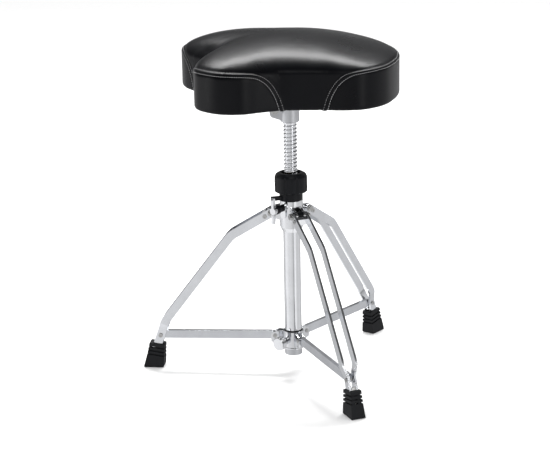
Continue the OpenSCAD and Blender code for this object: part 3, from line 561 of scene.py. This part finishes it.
def simulate_cover():
    """Inflates the cover while its seams and hem are held, and returns the outward travel of each grid point in mm."""
    arcs = np.arange(SIM_COLS) / SIM_COLS * ROUND
    arc, w = np.meshgrid(arcs, SIM_W)
    start = seat_point(arc, w)
    normal = seat_normal(arc, w)
    middle = np.array([[0, 0, CROWN]])
    verts = np.concatenate([to_row(start).reshape(-1, 3), to_row(middle), to_row(np.array([[0, 0, 2.0]]))])
    faces = grid_faces(SIM_ROWS, SIM_COLS, True)
    last, top, bottom = (SIM_ROWS - 1) * SIM_COLS, SIM_ROWS * SIM_COLS, SIM_ROWS * SIM_COLS + 1
    faces += [(last + i, last + (i + 1) % SIM_COLS, top) for i in range(SIM_COLS)]
    faces += [((i + 1) % SIM_COLS, i, bottom) for i in range(SIM_COLS)]
    o = make_mesh("sim_cover", verts, faces, MATS["seat_vinyl"], None)
    gap, _ = seam_distance(arc, w)
    hold = np.clip((12 - gap) / 9, 0, 1)
    hold = np.maximum(hold, np.clip((HEM + 3 - w) / 4, 0, 1))
    group = o.vertex_groups.new(name="held")
    for i, v in enumerate(np.append(hold.ravel(), [0, 1])):
        if v > 0.01:
            group.add([i], float(v), "REPLACE")
    mod = o.modifiers.new("cloth", "CLOTH")
    s = mod.settings
    s.quality, s.mass, s.air_damping = 6, 0.3, 2
    s.tension_stiffness = s.compression_stiffness = 18
    s.shear_stiffness, s.bending_stiffness = 9, 1.2
    s.tension_damping = s.compression_damping = s.shear_damping = 12
    s.use_pressure, s.uniform_pressure_force = True, 4
    s.vertex_group_mass = "held"
    s.pin_stiffness = 1
    s.effector_weights.gravity = 0
    mod.point_cache.frame_start, mod.point_cache.frame_end = 1, 20
    for f in range(1, 21):
        bpy.context.scene.frame_set(f)
    dg = bpy.context.evaluated_depsgraph_get()
    e = o.evaluated_get(dg)
    after = np.zeros(len(e.data.vertices) * 3)
    e.data.vertices.foreach_get("co", after)
    after = after.reshape(-1, 3)[:-2].reshape(SIM_ROWS, SIM_COLS, 3)
    moved = (after - to_row(start)) / MM
    c, sn = math.cos(-SEAT_TURN), math.sin(-SEAT_TURN)
    x, y = moved[..., 0], moved[..., 1]
    local = np.stack([x * c - y * sn, x * sn + y * c, moved[..., 2]], -1)
    out = (local * normal).sum(-1)
    print("cloth travel mm", out.min().round(2), out.mean().round(2), out.max().round(2))
    bpy.data.objects.remove(o)
    bpy.context.scene.frame_set(1)
    out = SIM_CAP * np.tanh(out / SIM_CAP)
    for _ in range(2):
        out = 0.5 * out + 0.25 * (np.roll(out, 1, 1) + np.roll(out, -1, 1))
        out[1:-1] = 0.5 * out[1:-1] + 0.25 * (out[2:] + out[:-2])
    return out


PUFF = simulate_cover()
PUFF = PUFF - 0.5 * PUFF.mean()


def puff(arc, w):
    col = np.mod(arc, ROUND) / ROUND * SIM_COLS
    i = np.floor(col).astype(int) % SIM_COLS
    f = col - np.floor(col)
    row = np.interp(w, SIM_W, np.arange(SIM_ROWS))
    j = np.clip(np.floor(row).astype(int), 0, SIM_ROWS - 2)
    g = row - j
    g, f = g * g * (3 - 2 * g), f * f * (3 - 2 * f)
    near = PUFF[j, i] * (1 - f) + PUFF[j, (i + 1) % SIM_COLS] * f
    far = PUFF[j + 1, i] * (1 - f) + PUFF[j + 1, (i + 1) % SIM_COLS] * f
    return near * (1 - g) + far * g


def dent(x, width):
    return np.exp(-((x / width) ** 2))


def cover_offset(gap, along):
    """How far the cover stands off the base surface: a double-stitched band along the seams, full between stitches."""
    inside = np.clip((BAND + 1.3 - gap) / 1.6, 0, 1)
    inside = inside * inside * (3 - 2 * inside)
    band = 0.75 + 0.5 * np.sin(np.clip((gap - 1.3) / (BAND - 2.2), 0, 1) * math.pi)
    stitched = 0.5 * dent(gap - 1.3, 0.7) + 0.6 * dent(gap - (BAND - 0.6), 0.8)
    pull = 0.16 * np.sin(along / 3.9 * 2 * math.pi) * dent(gap - BAND - 1.5, 3.0)
    sag = 0.5 * dent(gap - BAND - 2.2, 3.2)
    return band * inside - stitched - sag * (1 - inside) + pull


def panel_offset(gap, along):
    pucker = np.sin(along / 5.2 * 2 * math.pi + 1.5 * np.sin(along / 31)) * (0.5 + 0.5 * np.sin(along / 47 + 1))
    return -0.55 * dent(gap, 3.0) + 0.32 * pucker * np.exp(-gap / 5.5) * np.clip(gap / 2, 0, 1)


def seat_piece(name, arcs, rows, offset, closed, node):
    """Builds a sheet of the seat from rows of (arc, w, extra height) laid column by column."""
    arc = np.broadcast_to(arcs, rows[0].shape)
    gap, along = seam_distance(arc, rows[0])
    lift = offset(gap, along) + rows[1] + puff(arc, rows[0])
    points = seat_point(arc, rows[0]) + seat_normal(arc, rows[0]) * lift[..., None]
    verts = to_row(points)
    count = verts.shape[0]
    faces = grid_faces(count, len(arcs), closed)
    verts = verts.reshape(-1, 3)
    if closed:
        middle = verts[-len(arcs):].mean(0)
        middle[2] = verts[-len(arcs):, 2].mean() + 0.00012
        verts = np.vstack([verts, middle])
        last = (count - 1) * len(arcs)
        faces += [(last + i, last + (i + 1) % len(arcs), len(verts) - 1) for i in range(len(arcs))]
    o = make_mesh(name, verts, faces, MATS["seat_vinyl"], "seat")
    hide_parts(node)
    return o


def seat_arcs(lo, hi, step):
    return np.linspace(lo, hi, int(round((hi - lo) / step)) + 1)


def make_cover():
    step = 2.3
    marks = [0.0]
    for lo, hi in PANELS.values():
        marks += [lo, hi]
    marks.append(ROUND)
    arcs = []
    for a, b in zip(marks[:-1], marks[1:]):
        inner = seat_arcs(a, b, step)
        arcs += list(inner[:-1])
        if b < ROUND:
            arcs.append(b - 0.25)
    arcs = np.array(sorted(set(arcs)))
    low = np.zeros(len(arcs))
    for ends in PANELS.values():
        inside = (arcs >= ends[0] - 0.01) & (arcs <= ends[1] - 0.2)
        low = np.where(inside, seam_w(arcs, ends), low)
    seam = low > 1
    share = np.concatenate([[0, 0], np.linspace(0, 1, 64) ** 1.0])
    reach = HEM + SEAM_W + 22
    dense = low + (reach - low) * share[:, None]
    tail = reach + (W_TOP - reach) * np.linspace(0, 1, 14)[1:, None] ** 1.0 + np.zeros(len(arcs))
    crown = W_TOP + (np.linspace(0, 1, 26)[1:, None] ** 1.0) * 38.5 + np.zeros(len(arcs))
    w = np.vstack([dense, tail, crown])
    extra = np.zeros_like(w)
    extra[0] = np.where(seam, -1.9, -1.2)
    extra[1] = np.where(seam, -0.5, 0)
    return seat_piece("cover_top", arcs, (w, extra), cover_offset, True, "seat_top_cover")


def make_panel(key, node):
    ends = PANELS[key]
    arcs = np.concatenate([ends[0] + np.linspace(0, 1, 26) ** 1.6 * 40,
                           seat_arcs(ends[0] + 40, ends[1] - 40, 2.6)[1:-1],
                           ends[1] - np.linspace(1, 0, 26) ** 1.6 * 40])
    top = seam_w(arcs, ends) + 2.5
    share = np.linspace(0, 1, 46)
    w = top * share[:, None]
    extra = np.zeros_like(w)
    extra[-1] -= 0.5
    extra[0] -= 1.2
    return seat_piece("cover_side_" + key, arcs, (w, extra), panel_offset, False, node)


def make_stitches():
    """Two rows of thread along each seam, laid as separate short stitches."""
    verts, faces = [], []
    sides, pitch, length = 6, 3.9, 3.25
    for line in CURVES.values():
        body = line[12:-12]
        tangent = np.gradient(body, axis=0)
        keep = np.linalg.norm(tangent, axis=1) > 1e-9
        body, tangent = body[keep], tangent[keep]
        tangent /= np.linalg.norm(tangent, axis=1, keepdims=True)
        across = np.stack([-tangent[:, 1], tangent[:, 0]], -1)
        for shift, radius, sunk in ((1.3, 0.42, 0), (BAND - 0.6, 0.33, 0.1)):
            path = body + across * shift
            path = path[path[:, 1] > HEM * 0.4]
            run = np.concatenate([[0], np.cumsum(np.linalg.norm(np.diff(path, axis=0), axis=1))])
            for start in np.arange(1, run[-1] - pitch, pitch):
                at = start + np.linspace(0, length, 6)
                arc, w = (np.interp(at, run, path[:, k]) for k in (0, 1))
                gap = np.full(len(at), shift)
                lift = cover_offset(gap, at) + puff(arc, w)
                arch = np.array([-0.5, 0.18, 0.3, 0.3, 0.18, -0.5]) - sunk
                centre = seat_point(arc, w) + seat_normal(arc, w) * (lift + arch)[:, None]
                normal = seat_normal(arc, w)
                ahead = np.gradient(centre, axis=0)
                ahead /= np.linalg.norm(ahead, axis=1, keepdims=True)
                side = np.cross(ahead, normal)
                base = len(verts)
                for k, thick in enumerate((0.5, 0.95, 1, 1, 0.95, 0.5)):
                    for n in range(sides):
                        a = n / sides * 2 * math.pi
                        verts.append(centre[k] + radius * thick * (math.cos(a) * side[k] + math.sin(a) * normal[k]))
                faces += grid_faces(6, sides, True, base)
                faces.append(tuple(base + n for n in range(sides))[::-1])
                faces.append(tuple(base + 5 * sides + n for n in range(sides)))
    o = make_mesh("seam_stitches", to_row(np.array(verts)), faces, THREAD, "seat")
    return o


cover = make_cover()
for key, node in (("near", "seat_panel_near"), ("far", "seat_panel_far"), ("back", "seat_panel_back")):
    make_panel(key, node)
make_stitches()


def make_foam():
    """The moulded foam pad under the cover, a plain copy of its surface drawn in."""
    arcs = np.linspace(0, ROUND, 160, endpoint=False)
    low = HEM + CORNER + 5
    ws = np.concatenate([np.linspace(low, W_TOP, 14), W_TOP + np.linspace(0, 38.5, 8)[1:]])
    arc, w = np.meshgrid(arcs, ws)
    points = seat_point(arc, w) - seat_normal(arc, w) * 3.6
    points[0, :, 2] = 12.4
    verts = to_row(points).reshape(-1, 3)
    faces = grid_faces(len(ws), len(arcs), True)
    top = verts[-len(arcs):].mean(0)
    bottom = to_row(np.array([[0, 0, 12.4]]))[0]
    verts = np.vstack([verts, top, bottom])
    last = (len(ws) - 1) * len(arcs)
    n = len(arcs)
    faces += [(last + i, last + (i + 1) % n, len(verts) - 2) for i in range(n)]
    faces += [((i + 1) % n, i, len(verts) - 1) for i in range(n)]
    o = make_mesh("foam_pad", verts, faces, MATS["seat_foam"], "seat")
    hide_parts("seat_foam")


make_foam()


def make_underside():
    """The dust cloth stapled over the hem, and its staples."""
    arcs = np.linspace(0, ROUND, 240, endpoint=False)
    q = at_arc(arcs)
    r = np.linalg.norm(q, axis=1)
    rings = []
    for k, f in enumerate(np.concatenate([[1.0, 1.0], np.linspace(0.985, 0.06, 22)])):
        radius = (r - 12.5) * f
        wrinkle = 0.16 * np.sin(arcs / 9.0 + 2 * np.sin(arcs / 70)) * (f > 0.8)
        wrinkle = wrinkle + 0.25 * np.sin(radius / 17) * np.cos(arcs / 60)
        z = -0.25 - 0.35 * (1 - f) - wrinkle * 0.6 * (k > 1)
        if k == 0:
            z = z * 0 + 0.3
        rings.append(np.column_stack([q[:, 0] / r * radius, q[:, 1] / r * radius, np.broadcast_to(z, r.shape)]))
    verts = to_row(np.array(rings)).reshape(-1, 3)
    verts = np.vstack([verts, verts[-240:].mean(0)])
    faces = grid_faces(len(rings), 240, True)
    last = (len(rings) - 1) * 240
    faces += [(last + i, last + (i + 1) % 240, len(verts) - 1) for i in range(240)]
    o = make_mesh("dust_cloth", verts, [f[::-1] for f in faces], MATS["seat_cloth"], "seat")
    solid = o.modifiers.new("thickness", "SOLIDIFY")
    solid.thickness, solid.offset = 0.0005, -1
    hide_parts("seat_bottom_cloth")
    verts, faces = [], []
    for k in range(54):
        arc = (k + 0.5) / 54 * ROUND + rng.uniform(-3, 3)
        q = at_arc(np.array([arc]))[0]
        out = q / np.linalg.norm(q)
        side = np.array([-out[1], out[0]])
        tilt = rng.uniform(-0.25, 0.25)
        side = math.cos(tilt) * side + math.sin(tilt) * out
        cross = np.array([side[1], -side[0]])
        centre = q - out * 19
        for lo, hi, z0, z1 in ((-5, 5, -1.35, -0.75), (-5, -4.3, -0.9, 0.6), (4.3, 5, -0.9, 0.6)):
            base = len(verts)
            for z in (z0, z1):
                for u, v in ((lo, -0.4), (hi, -0.4), (hi, 0.4), (lo, 0.4)):
                    p = centre + side * u + cross * v
                    verts.append((p[0], p[1], z))
            faces += [tuple(base + i for i in f) for f in
                      ((0, 1, 2, 3), (4, 7, 6, 5), (0, 4, 5, 1), (1, 5, 6, 2), (2, 6, 7, 3), (3, 7, 4, 0))]
    o = make_mesh("hem_staples", to_row(np.array(verts)), faces, MATS["fastener_steel"], "seat", smooth=False)


make_underside()

# ---------------------------------------------------------------- studio


def make_floor():
    m = Mat("floor_paper", Specular_IOR_Level=0.2, Roughness=0.8)
    speck = m.noise(40, 4, 0.6)
    m.set("Base Color", m.ramp(speck, (0.3, (0.80, 0.80, 0.80)), (0.7, (0.82, 0.82, 0.82))))
    size = 14.0
    verts, faces = [], []
    for j in range(9):
        for i in range(9):
            verts.append(((i / 8 - 0.5) * size, (j / 8 - 0.5) * size, -0.0004))
    faces = grid_faces(9, 9, False)
    o = make_mesh("floor_sheet", verts, faces, m.m, None)
    o.visible_glossy = False
    return o


make_floor()


def area_light(name, at, towards, size, power):
    data = bpy.data.lights.new(name, "AREA")
    data.shape, data.size, data.size_y = "RECTANGLE", size[0], size[1]
    data.energy = power
    o = bpy.data.objects.new(name, data)
    bpy.context.scene.collection.objects.link(o)
    o.location = at
    o.rotation_euler = (Vector(towards) - Vector(at)).to_track_quat("-Z", "Y").to_euler()


area_light("top_box", (-0.15, 1.55, 2.75), (0, 0, 0.62), (2.8, 0.5), 120)
area_light("front_box", (0.5, -2.6, 2.6), (0, 0, 0.4), (1.2, 0.5), 8)
area_light("left_strip", (-2.5, -0.55, 0.75), (0, 0, 0.45), (0.26, 1.3), 5)
area_light("right_strip", (1.85, -1.75, 0.75), (0, 0, 0.45), (0.26, 1.3), 5)


def make_world():
    """A white sweep for the camera, an even fill, and a tent of lit and dark panels for what shines."""
    w = bpy.data.worlds.new("studio")
    bpy.context.scene.world = w
    w.use_nodes = True
    t = w.node_tree
    t.nodes.clear()

    def node(kind, **settings):
        n = t.nodes.new(kind)
        for key, value in settings.items():
            setattr(n, key, value)
        return n

    def ramp(source, low, high, stops):
        scale = node("ShaderNodeMapRange")
        scale.inputs[1].default_value, scale.inputs[2].default_value = low, high
        t.links.new(source, scale.inputs[0])
        n = node("ShaderNodeValToRGB")
        while len(n.color_ramp.elements) < len(stops):
            n.color_ramp.elements.new(0.5)
        for e, (at, v) in zip(n.color_ramp.elements, stops):
            e.position, e.color = (at - low) / (high - low), (v, v, v * 1.012, 1)
        t.links.new(scale.outputs[0], n.inputs[0])
        return n.outputs[0]

    def mix(factor, a, b):
        n = node("ShaderNodeMix", data_type="RGBA")
        t.links.new(factor, n.inputs[0])
        t.links.new(a, n.inputs[6])
        t.links.new(b, n.inputs[7])
        return n.outputs[2]

    split = node("ShaderNodeSeparateXYZ")
    t.links.new(node("ShaderNodeTexCoord").outputs["Generated"], split.inputs[0])
    x, y, z = split.outputs
    flip = node("ShaderNodeMath", operation="MULTIPLY")
    flip.inputs[1].default_value = -1
    t.links.new(y, flip.inputs[0])
    turn = node("ShaderNodeMath", operation="ARCTAN2")
    t.links.new(x, turn.inputs[0])
    t.links.new(flip.outputs[0], turn.inputs[1])
    panels = ramp(turn.outputs[0], -math.pi, math.pi, [(math.radians(d), v) for d, v in PANEL_TONES])
    behind = ramp(z, -0.1, 1, BEHIND_TONES)
    ahead = ramp(z, -0.1, 1, ((-0.1, 0.6), (0.05, 0.35), (0.2, 0.12), (1, 0.06)))
    upper = mix(ramp(y, -1, 1, ((-0.3, 0), (0.25, 1))), ahead, behind)
    floor = ramp(z, -1, 0, ((-1, 0.97), (0, 0.97)))
    lower = mix(ramp(z, -1, 0, ((-0.8, 0), (-0.68, 1))), floor, panels)
    tent = mix(ramp(z, -0.2, 0.2, ((-0.05, 0), (0.05, 1))), lower, upper)
    path = node("ShaderNodeLightPath")
    seen, fill, shine = (node("ShaderNodeBackground") for _ in range(3))
    seen.inputs[0].default_value = fill.inputs[0].default_value = (1, 1, 1, 1)
    fill.inputs[1].default_value = 1.22
    t.links.new(tent, shine.inputs[0])
    first, second = node("ShaderNodeMixShader"), node("ShaderNodeMixShader")
    t.links.new(path.outputs["Is Diffuse Ray"], first.inputs[0])
    t.links.new(shine.outputs[0], first.inputs[1])
    t.links.new(fill.outputs[0], first.inputs[2])
    t.links.new(path.outputs["Is Camera Ray"], second.inputs[0])
    t.links.new(first.outputs[0], second.inputs[1])
    t.links.new(seen.outputs[0], second.inputs[2])
    t.links.new(second.outputs[0], node("ShaderNodeOutputWorld").inputs[0])


# Brightness behind the throne, by height of the direction.
BEHIND_TONES = ((-0.1, 0.6), (0.02, 0.5), (0.07, 0.1), (0.24, 0.12), (0.42, 0.4), (0.56, 0.5), (0.75, 0.4), (1, 0.2))
# Brightness of the panels round the throne, by degrees from the front: left is negative, the back is 180.
PANEL_TONES = ((-180, 0.55), (-125, 0.56), (-102, 0.85), (-86, 1.0), (-68, 0.95), (-45, 0.82), (-10, 0.76), (8, 0.68),
               (18, 0.6), (24, 0.34), (29, 0.4), (35, 0.95), (50, 1.0), (62, 0.7), (85, 0.64),
               (106, 0.7), (130, 0.6), (180, 0.55))
make_world()
bpy.context.scene.view_settings.view_transform = "Standard"
